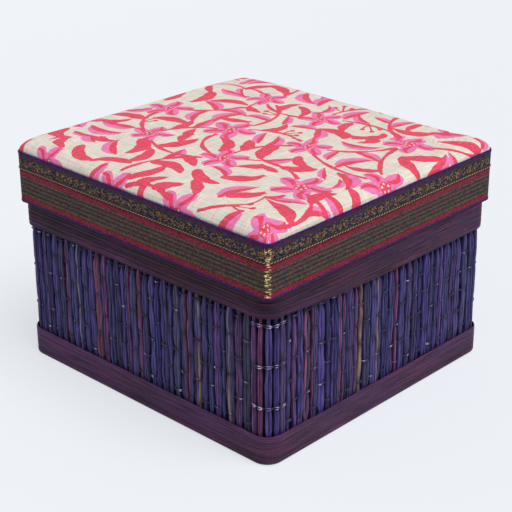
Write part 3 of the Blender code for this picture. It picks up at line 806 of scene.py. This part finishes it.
def reedFinish():
    made = Finish("dyedReed", roughness=0.5, specular=0.22)
    streak = made.noise(1300, 70, detail=4.0, roughness=0.65)
    patch = made.noise(160, 34, offset=(2.3, 0.7, 0))
    fine = made.noise(9000, 220, detail=1.0)
    colour = made.ramp(made.value("tint") + (patch - 0.5) * 0.16, reedLook["colours"])
    # the shade value is each stem's own tone times the painted shade between the stems and at the stitches
    tone = streak.span(0.38, 0.62, 0.46, 1.52) * made.value("shade") * fine.span(0.35, 0.65, 0.84, 1.16)
    return made.finish(made.dim(colour, tone), streak.span(0.3, 0.7, 0.62, 0.46), streak + fine * 0.4, 0.00042)


def makeReeds():
    # each bundle is one to four stems, tubes of section (|cos a|^0.4, |sin a|^0.4), squeezed together where a
    # stitch holds the bundle, by exp(-((z - row) / reach)^2), and swaying between
    look = reedLook
    rng = np.random.RandomState(look["seed"])
    low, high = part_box("front_reeds")
    z = np.linspace(low.z, high.z, look["stations"])
    rows = look["stitchTop"] - look["stitchStep"] * np.arange(look["stitchRows"])
    bell = np.exp(-((z[None] - rows[:, None]) / look["stitchReach"]) ** 2)
    nearest = sorted(np.argsort(np.abs(fromCorner))[:len(look["cornerTints"])])
    parts = []   # bundle, place across it, share of its width, half width, tint
    for number, room in enumerate(matEnds - matStarts):
        half = (room - rng.uniform(*look["bundleGap"])) / 2
        stems = rng.choice(look["wideStems" if half > look["wide"] else "narrowStems"])
        cuts = np.linspace(-1, 1, stems + 1)
        cuts[1:-1] += rng.uniform(-0.55, 0.55, stems - 1) / stems
        plum = look["plumReach"][0] < fromCorner[number] < look["plumReach"][1]
        shares = look["plumShares" if plum else "shares"]
        tint = np.interp(rng.rand(), shares, look["tints"])
        if number in nearest:
            tint = look["cornerTints"][nearest.index(number)]
        for left, right in zip(cuts[:-1], cuts[1:]):
            own = tint
            if rng.rand() >= look["alike"] and number not in nearest:
                own = np.interp(rng.rand(), shares, look["tints"])
            own += rng.uniform(-look["tintDrift"], look["tintDrift"])
            parts.append((number, (left + right) / 2, (right - left) / 2, half, own))
    bundle, place, share, half, tint = np.array(parts).T
    bundle, count = bundle.astype(int), len(parts)
    reach, isNearest = half[:, None], np.isin(bundle, nearest)
    tight = np.clip(stitched[bundle] @ bell, 0, 1)
    loose = np.clip(~stitched[bundle] @ bell, 0, 1)

    def waver(number, waves, strength):   # smooth sideways wandering up a stem
        phases = rng.uniform(0, 2 * math.pi, (number, len(waves)))
        turns = 2 * math.pi * np.array(waves)[None, :, None] * (z / 0.076)[None, None, :] + phases[..., None]
        return strength * np.sin(turns).mean(1)

    middle = (matStarts + matEnds)[bundle][:, None] / 2
    underRim = z[None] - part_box("rim_band")[0].z - edgeRise(middle, rimEdge, reedHalf, reedRadius)
    overFoot = z[None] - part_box("base_band")[1].z - edgeRise(middle, footEdge, reedHalf, reedRadius)
    endBell = look["rimSqueeze"] * np.exp(-(underRim / look["rimReach"]) ** 2)
    endBell += look["footSqueeze"] * np.exp(-(overFoot / look["footReach"]) ** 2)
    steady = np.where(isNearest, look["steady"], 1.0)[:, None]
    bundleSway = waver(len(matStarts), (0.9, 2.1), look["sway"])[bundle] * steady
    squeezed = 1 - look["squeeze"] * tight + look["swell"] * loose - endBell
    swell = waver(count, (2.0, 5.3, 9.1), look["stemSwell"])
    along = middle + bundleSway + place[:, None] * reach * squeezed
    along += waver(count, (1.7, 3.9, 6.1), look["stemSway"]) * (1 - 0.7 * tight) * steady
    width = share[:, None] * reach * squeezed * (look["fullness"] + swell)
    inwards = rng.uniform(0, look["drop"], count)[:, None] + look["press"] * tight + look["endPress"] * endBell
    depth = look["halfDepth"] * rng.uniform(*look["depths"], count)[:, None] * (1 - 0.06 * tight)
    angle = 2 * math.pi * (np.arange(look["around"]) + 0.5) / look["around"] - math.pi / 2
    acrossShape, outShape = (np.sign(wave) * np.abs(wave) ** look["squareness"]
                             for wave in (np.cos(angle), np.sin(angle)))
    distance = along[..., None] + width[..., None] * acrossShape
    outwards = depth[..., None] * (outShape - 1) - inwards[..., None]
    base, normal = outlinePath(reedHalf, reedRadius, distance)
    heights = np.broadcast_to(z[None, :, None, None], (*distance.shape, 1))
    points = np.concatenate((base + normal * outwards[..., None], heights), axis=-1)
    # leftwards from the front right corner the stems are more alike
    calm = np.clip(-fromCorner[bundle] / look["calmReach"], 0, 1)
    shade = rng.uniform(*look["shades"], count)
    shade[isNearest] *= look["nearShade"]
    shade += (look["calmShade"] - shade) * look["calming"] * calm
    # painted shade between the stems, and painted shadow where a stitch pulls them in
    creviceShade = (look["creviceShade"] - look["calmCreviceShade"] * calm)[:, None, None] * np.clip(1 - outShape, 0, 1)
    shade = shade[:, None, None] * (1 - look["stitchShadow"] * tight)[..., None] * (1 - creviceShade)
    around = 0.0073 * np.arange(count)[:, None, None] + width[..., None] * angle
    uv = np.stack(np.broadcast_arrays(around, z[None, :, None]), axis=-1)
    material = reedFinish()
    stride = look["stations"] * look["around"]
    for owner, name in enumerate(matNames):
        mine = matOwners[bundle] == owner
        faces = [repeated(group, mine.sum(), stride) for group in tubeFaces(look["stations"], look["around"])]
        values = {"tint": np.repeat(np.clip(tint[mine], 0, 1), stride), "shade": shade[mine]}
        first, *words = name.split("_")
        piece = makePiece(first + "".join(map(str.capitalize, words)), points[mine], faces, material, uv[mine],
                          values, 60)
        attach(piece, "box")
        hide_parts(name)
    print("  stems", count, "in", len(matStarts), "bundles")


threadLook = {
    "seed": 8, "radius": 0.00015, "stationsPerBundle": 12, "around": 6, "spread": (0.00025, 0.00070),
    "cornerSpread": 0.00100, "least": 0.00015, "cornerReach": 0.012, "sway": 0.0005, "jog": 0.00030,
    "meet": 0.35, "front": -0.00016, "behind": 0.0006, "tones": (0.0, 0.40), "cornerTone": 0.62,
    "glints": (0.3, 0.8),
    "shades": ((0.0, (27, 23, 46)), (0.35, (66, 54, 92)), (0.65, (128, 118, 164)), (1.0, (226, 220, 236))),
}


def threadFinish():
    made = Finish("bindingThread", roughness=0.65, specular=0.25, sheen=0.15)
    ply = made.noise(2600, 2600, 5200)
    colour = made.ramp(made.value("tone"), threadLook["shades"])
    return made.finish(made.dim(colour, ply.span(0.3, 0.7, 0.7, 1.2)), height=ply, depth=0.00008)


def makeThreads():
    # each row is a pair of threads that passes before the stitched bundles and behind the others: across a
    # bundle it lies at m + (s - m) (sin pi u)^0.35, with s = 1 before or -1 behind, and m 0.35 times the mean of
    # s on both sides of the nearer edge; near the front right corner the two part to a loop at each bundle
    look = threadLook
    rng = np.random.RandomState(look["seed"])
    count, steps = len(matStarts), look["stationsPerBundle"]
    edges = np.append(matStarts, matEnds[-1])
    number = np.arange(count * steps) / steps
    share = np.mod(number, 1)
    bundle = number.astype(int)
    base, normal = outlinePath(reedHalf, reedRadius, np.interp(number, np.arange(count + 1), edges))
    front, behind, around = look["front"], -2 * reedLook["halfDepth"] - look["behind"], look["around"]
    near = np.exp(-(fromCorner / look["cornerReach"]) ** 4)[bundle]
    material = threadFinish()
    faces = repeated(gridFaces(len(number), around, closeRows=True, closeColumns=True), 2, len(number) * around)
    for row in range(reedLook["stitchRows"]):
        state = np.where(stitched[:, row], 1.0, -1.0)
        before, after = ((state + np.roll(state, step))[bundle] for step in (1, -1))
        atEdge = look["meet"] * np.where(share < 0.5, before, after) / 2
        lies = atEdge + (state[bundle] - atEdge) * np.sin(math.pi * share) ** 0.35
        out = (front + behind) / 2 + (front - behind) / 2 * lies
        sway = look["sway"] * drift(number, count, (5, 11, 23), rng)
        height = reedLook["stitchTop"] - reedLook["stitchStep"] * row + sway
        jog = rng.uniform(-look["jog"], look["jog"], count)
        height = height + np.interp(number, np.arange(count), jog, period=count)
        spread = rng.uniform(*look["spread"], 2 * count)
        spread = np.interp(number, np.arange(2 * count) / 2, spread, period=count)
        loop = look["least"] + look["cornerSpread"] * np.sin(math.pi * share ** 0.6)
        spread += (loop - spread) * near
        chance, glint = rng.rand(count)[bundle], rng.uniform(0.15, 0.85, count)[bundle]
        tone = rng.uniform(*look["tones"], count)[bundle]
        # painted highlight: near the front right corner the threads are lighter across each bundle's middle and
        # darker where they dip at its edges
        tone += look["cornerTone"] * near * (chance > 0.12) * np.sin(math.pi * share) ** 2
        # a painted glint: a light spot part way across some bundles
        shine = rng.uniform(*look["glints"], count)[bundle]
        tone += (chance > 0.55) * shine * np.exp(-((share - glint) / 0.14) ** 2)
        other = np.maximum(near, rng.uniform(0.2, 1.0, count)[bundle])
        tones = np.concatenate([np.repeat(np.clip(tone * part, 0, 1), around) for part in (1, other)])
        paths = (np.column_stack((base + normal * out[:, None], height + side * spread)) for side in (0.5, -0.5))
        points = [tubeRing(path, look["radius"], around, True) for path in paths]
        piece = makePiece(f"bindingThreads{row + 1}", points, [faces], material, None, {"tone": tones})
        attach(piece, "box")


makeReeds()
makeThreads()
print("reed mat and threads made")

# The two leaf bands

bandThickness, bandSpacing = 0.0006, 0.0008
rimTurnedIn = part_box("right_wall_board")[1].x + 0.0003 - halfSize("rim_band")[0]   # over the wall's top edge
rimLook = {
    "name": "rimBand", "leaf": "rimLeaf", "points": 64, "seamShare": 0.35, "ridges": 7, "ridgeDepth": 0.00050,
    "ridgeWaves": (7, 15, 29), "ridgeSeed": 31, "wobble": lambda t: 0.018 * np.sin(math.pi * t),
    # the deep share also sets how dark the painted shadow and the painted groove shade fall
    "deep": (0.55, 0.45),   # ridges deep along the front and left, shallow along the right
    "worn": lambda t: 0.00025 * (np.exp(-t / 0.02) + np.exp(-(1 - t) / 0.03)),
    "offLevel": rimEdge, "edgeWaves": (13, 37, 71, 113), "edgeSeed": 33, "lift": lambda t: (1 - t) ** 2,
    "shades": ((60, 38, 58), (74, 42, 80)), "grooves": 0.92, "lidShadow": 0.20,
    "start": (), "fold": 0.0, "backStart": 0.004, "backStep": 0.001,
    "rest": ((rimTurnedIn, 1, 0, 0), (rimTurnedIn, 1, -bandThickness, 0),
             (-bandThickness, 1, -bandThickness, 0), (-bandThickness, 0, 0, 1)),
}
footTurn = np.linspace(-math.pi / 2, 0, 6)[:-1]   # from its flange under the floor the base band folds up
baseLook = {
    "name": "baseBand", "leaf": "baseLeaf", "points": 36, "seamShare": -0.35, "ridges": 5, "ridgeDepth": 0.00007,
    "ridgeWaves": (5, 13, 27), "ridgeSeed": 37, "wobble": lambda t: 0.03, "deep": (1.0, 0.0),
    "worn": lambda t: 0.0002 * np.exp(-(1 - t) / 0.025),
    "offLevel": footEdge, "edgeWaves": (11, 31, 67, 109), "edgeSeed": 39, "lift": lambda t: t ** 3,
    "shades": ((67, 44, 70), (79, 49, 90)), "grooves": 0.45, "lidShadow": 0.0,
    "start": ((-0.0090, 0.0), *zip((np.cos(footTurn) - 1) * 0.0012, (np.sin(footTurn) + 1) * 0.0012)),
    "fold": 0.0012, "backStart": 0.002, "backStep": 0.002,
    "rest": ((-bandThickness, 1, 0, 1), (-bandThickness, 0, bandThickness, 0), (-0.0090, 0, bandThickness, 0)),
}


# painted shadow of the lid's overhang: a band's deep side grows darker towards its top edge, and its top edge
# darker still
def leafFinish(look, width):   # a band's deep side grows darker towards its top edge
    made = Finish(look["leaf"], roughness=0.55, specular=0.12)
    up = made.add("SeparateXYZ", {0: made.place(1, 1)}, 1)
    shade = up.span(0, width, 0.16, 0.58) * made.value("deep")
    shade = shade + up.span(0.7 * width, width, 0.0, look["lidShadow"])
    fibre = made.noise(45, 1900, detail=5.0, roughness=0.75)
    vein = made.noise(22, 1100, offset=(1.7, 0.2, 0))
    dye = made.noise(14, 60, offset=(0.4, 3.3, 0)).span(0.35, 0.65)
    speck = made.noise(420, 2600, detail=1.0).span(0.72, 0.76, 0.0, 0.4)
    colour = made.mix(dye, *(linear(*shade) for shade in look["shades"]))
    colour = made.mix(vein.span(0.54, 0.68, 0.0, 0.6), colour, linear(98, 38, 62))
    colour = made.mix(speck, colour, linear(140, 108, 118))
    tone = fibre.span(0.39, 0.61, 0.40, 1.56) * vein.span(0.35, 0.65, 0.80, 1.16)
    colour = made.dim(colour, tone * made.math("SUBTRACT", 1.04, shade))
    # painted shade: near-black mixed into the grooves between the ridges
    colour = made.mix(made.value("grooveShade") * look["grooves"], colour, linear(13, 8, 14))
    return made.finish(colour, fibre.span(0.3, 0.7, 0.62, 0.46), fibre + vein * 0.8, 0.00026)


def ridged(t, ridges):   # 1 on the crest of each ridge and 0 in the grooves between: sqrt(4 p (1 - p))
    share = t * ridges + 0.42 * np.sin(2 * math.pi * 1.6 * t + 0.8) + 0.16 * np.sin(2 * math.pi * 3.7 * t)
    share = np.mod(share, 1.0)
    return np.sqrt(np.clip(4 * share * (1 - share), 0, 1))


def makeBand(look, node):
    # the section: the start, the ridged face from the bottom up, and the rest, each point as how far out, the
    # share of the width and the height above that, and whether it follows the face's uneven edge
    low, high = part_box(node)
    half, width = halfSize(node), high.z - low.z
    radius = reedRadius + half[0] - reedHalf[0]
    seam = look["seamShare"] * half[0]
    t = np.linspace(0, 1, look["points"])
    start, rest = np.reshape(look["start"], (-1, 2)), np.array(look["rest"])

    def joined(distance, *parts):   # side by side at every station
        return np.hstack([np.broadcast_to(part, (len(distance), np.shape(part)[-1])) for part in parts])

    def deep(distance, length):
        return look["deep"][0] + look["deep"][1] * np.cos(2 * math.pi * (distance / length - 0.46))[:, None]

    def crest(distance, length):
        uneven = drift(distance, length, look["ridgeWaves"], np.random.RandomState(look["ridgeSeed"]))[:, None]
        return ridged(t[None] + look["wobble"](t) * uneven, look["ridges"])

    def grooveShade(distance, length):
        shares = (1 - crest(distance, length)) ** 1.2 * deep(distance, length)
        return joined(distance, np.zeros(len(start)), shares, np.zeros(len(rest)))

    def profile(distance, length):
        depth = look["ridgeDepth"] * (0.3 + 0.7 * deep(distance, length))
        face = -depth * (1 - crest(distance, length)) - look["worn"](t)
        rise = edgeRise(seamPlace(half, radius, seam) + distance, look["offLevel"], half, radius)
        rise += 0.00016 * drift(distance, length, look["edgeWaves"], np.random.RandomState(look["edgeSeed"]))
        upright = look["fold"] + t * (width - look["fold"]) + rise[:, None] * look["lift"](t)
        inner = rest[:, 1] * width + rest[:, 2] + rise[:, None] * rest[:, 3]
        heights = low.z + joined(distance, start[:, 1], upright, inner)
        back = width + look["backStart"] + look["backStep"] * np.arange(len(rest))
        steps = np.concatenate((np.linspace(-0.010, 0, len(start)), t * width, back))
        return joined(distance, start[:, 0], face, rest[:, 0]), np.maximum(heights, 0), steps[None]

    values = {"deep": deep, "grooveShade": grooveShade} if look["deep"][1] else {"grooveShade": grooveShade}
    material = leafFinish(look, float(width))
    band = wrappedStrip(look["name"], half, radius, seam, bandSpacing, profile, material, values)
    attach(band, "box")
    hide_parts(node)


makeBand(rimLook, "rim_band")
makeBand(baseLook, "base_band")
print("leaf bands made")

# Card and paper: the pieces that keep the part's own shape

paperLook = {   # two shades, how much the fibres stand out, and the pieces
    # painted shade: the wall boards, seen only down the gaps between the reeds, are near-black so those gaps
    # read dark
    "paintedGapShade": ((15, 11, 18), (26, 20, 30), 0.5,
                   ("front_wall_board", "back_wall_board", "left_wall_board", "right_wall_board")),
    "liningPaper": ((62, 38, 60), (78, 50, 74), 1.0,
                    ("wall_lining", "skirt_lining", "lid_lining", "floor_card")),
    "undersidePaper": ((44, 32, 44), (58, 44, 56), 0.8, ("underside_sheet",)),
    "greyCard": ((104, 96, 88), (126, 117, 106), 0.6,
                 ("base_board", "lid_board", "front_skirt_board", "back_skirt_board", "left_skirt_board",
                  "right_skirt_board")),
}


def paperFinish(name, dark, light, strength):   # handmade paper: clouds of pulp, and long fibres lying every way
    made = Finish(name, roughness=0.85, specular=0.15)
    cloud = made.noise(90, 90, 90, detail=4.0, roughness=0.6)
    grain = made.noise(1500, 1500, 1500)
    bend = made.noise(60, 60, 60, outlet="Color")
    bent = made.add("VectorMath", {0: made.place(260, 260, 260), 1: bend}, operation="ADD")
    strands = made.add("TexVoronoi", {"Vector": bent}, "Distance", feature="DISTANCE_TO_EDGE")
    strand = strands.span(0.0, 0.025, strength, 0.0)
    colour = made.mix(cloud.span(0.3, 0.7), linear(*dark), linear(*light))
    colour = made.dim(colour, grain.span(0.25, 0.75, 0.86, 1.12))
    colour = made.mix(strand * cloud.span(0.45, 0.6, 0.0, 0.55), colour, linear(*(np.array(light) * 1.25)))
    return made.finish(colour, cloud.span(0.3, 0.7, 0.78, 0.92), grain * 0.6 + strand * 0.4, 0.00008)


for name, (dark, light, strength, pieces) in paperLook.items():
    material = paperFinish(name, dark, light, strength)
    for piece in pieces:
        nodes[piece].material_slots[0].material = material
print("card and paper finished")

# The floor and the light

lightLook = {
    "world": 0.36, "backdrop": 0.87, "key": 0.70, "keyFrom": (0.50, 0.0, 1.0), "keyAngle": 45,
    "glint": 0.05, "glintFrom": (0.62, -0.66, 0.80), "glintAngle": 8, "shadowShare": 0.35,
    "floorHalf": 6.0, "floorDrop": 0.0001,
}


def makeFloor():   # a pale plane, wide enough to fill the view from any side
    made = Finish("paleFloor", roughness=0.9, specular=0.0)
    patch = made.noise(0.7, 0.7, 0.7, detail=1.0).span(0.3, 0.7)
    colour = made.mix(patch, linear(236, 240, 246), linear(241, 244, 249))
    made.finish(colour)
    glow = made.add("Emission", {"Color": colour})   # for the camera alone, so that the shadow is only a breath
    share = made.add("LightPath", {}, "Is Camera Ray") * (1 - lightLook["shadowShare"])
    blend = made.add("MixShader", {0: share, 1: Signal(made, made.shader.outputs[0]), 2: glow})
    made.tree.links.new(blend.socket, made.tree.nodes["Material Output"].inputs["Surface"])
    reach, drop = lightLook["floorHalf"], lightLook["floorDrop"]
    mesh = bpy.data.meshes.new("floor")
    mesh.from_pydata([(x * reach, y * reach, -drop) for x, y in ((-1, -1), (1, -1), (1, 1), (-1, 1))], [],
                     [(0, 1, 2, 3)])
    mesh.materials.append(made.material)
    inScene("floor", mesh)


def makeSun(name):
    data = bpy.data.lights.new(name, "SUN")
    data.energy = lightLook[name] * math.pi
    data.angle = math.radians(lightLook[name + "Angle"])
    inScene(name, data).rotation_euler = Vector(lightLook[name + "From"]).to_track_quat("Z", "Y").to_euler()


def makeRoom():   # a white room, brighter where the camera or a mirrored ray sees it than where it gives light
    world = bpy.data.worlds.new("softRoom")
    bpy.context.scene.world = world
    world.use_nodes = True
    tree = world.node_tree
    backdrop = tree.nodes["Background"].inputs
    backdrop["Color"].default_value = (1, 1, 1, 1)
    path, first, second, strength = (tree.nodes.new("ShaderNode" + kind)
                                     for kind in ("LightPath", "Math", "Math", "MapRange"))
    first.operation = second.operation = "MAXIMUM"
    wires = ((path.outputs["Is Camera Ray"], first.inputs[0]), (path.outputs["Is Glossy Ray"], first.inputs[1]),
             (first.outputs[0], second.inputs[0]), (path.outputs["Is Transmission Ray"], second.inputs[1]),
             (second.outputs[0], strength.inputs[0]), (strength.outputs[0], backdrop["Strength"]))
    for outlet, socket in wires:
        tree.links.new(outlet, socket)
    strength.inputs[3].default_value = lightLook["world"]
    strength.inputs[4].default_value = lightLook["backdrop"]


makeFloor()
makeSun("key")
makeSun("glint")
makeRoom()
bpy.context.scene.view_settings.view_transform = "Standard"
print("floor and light set")
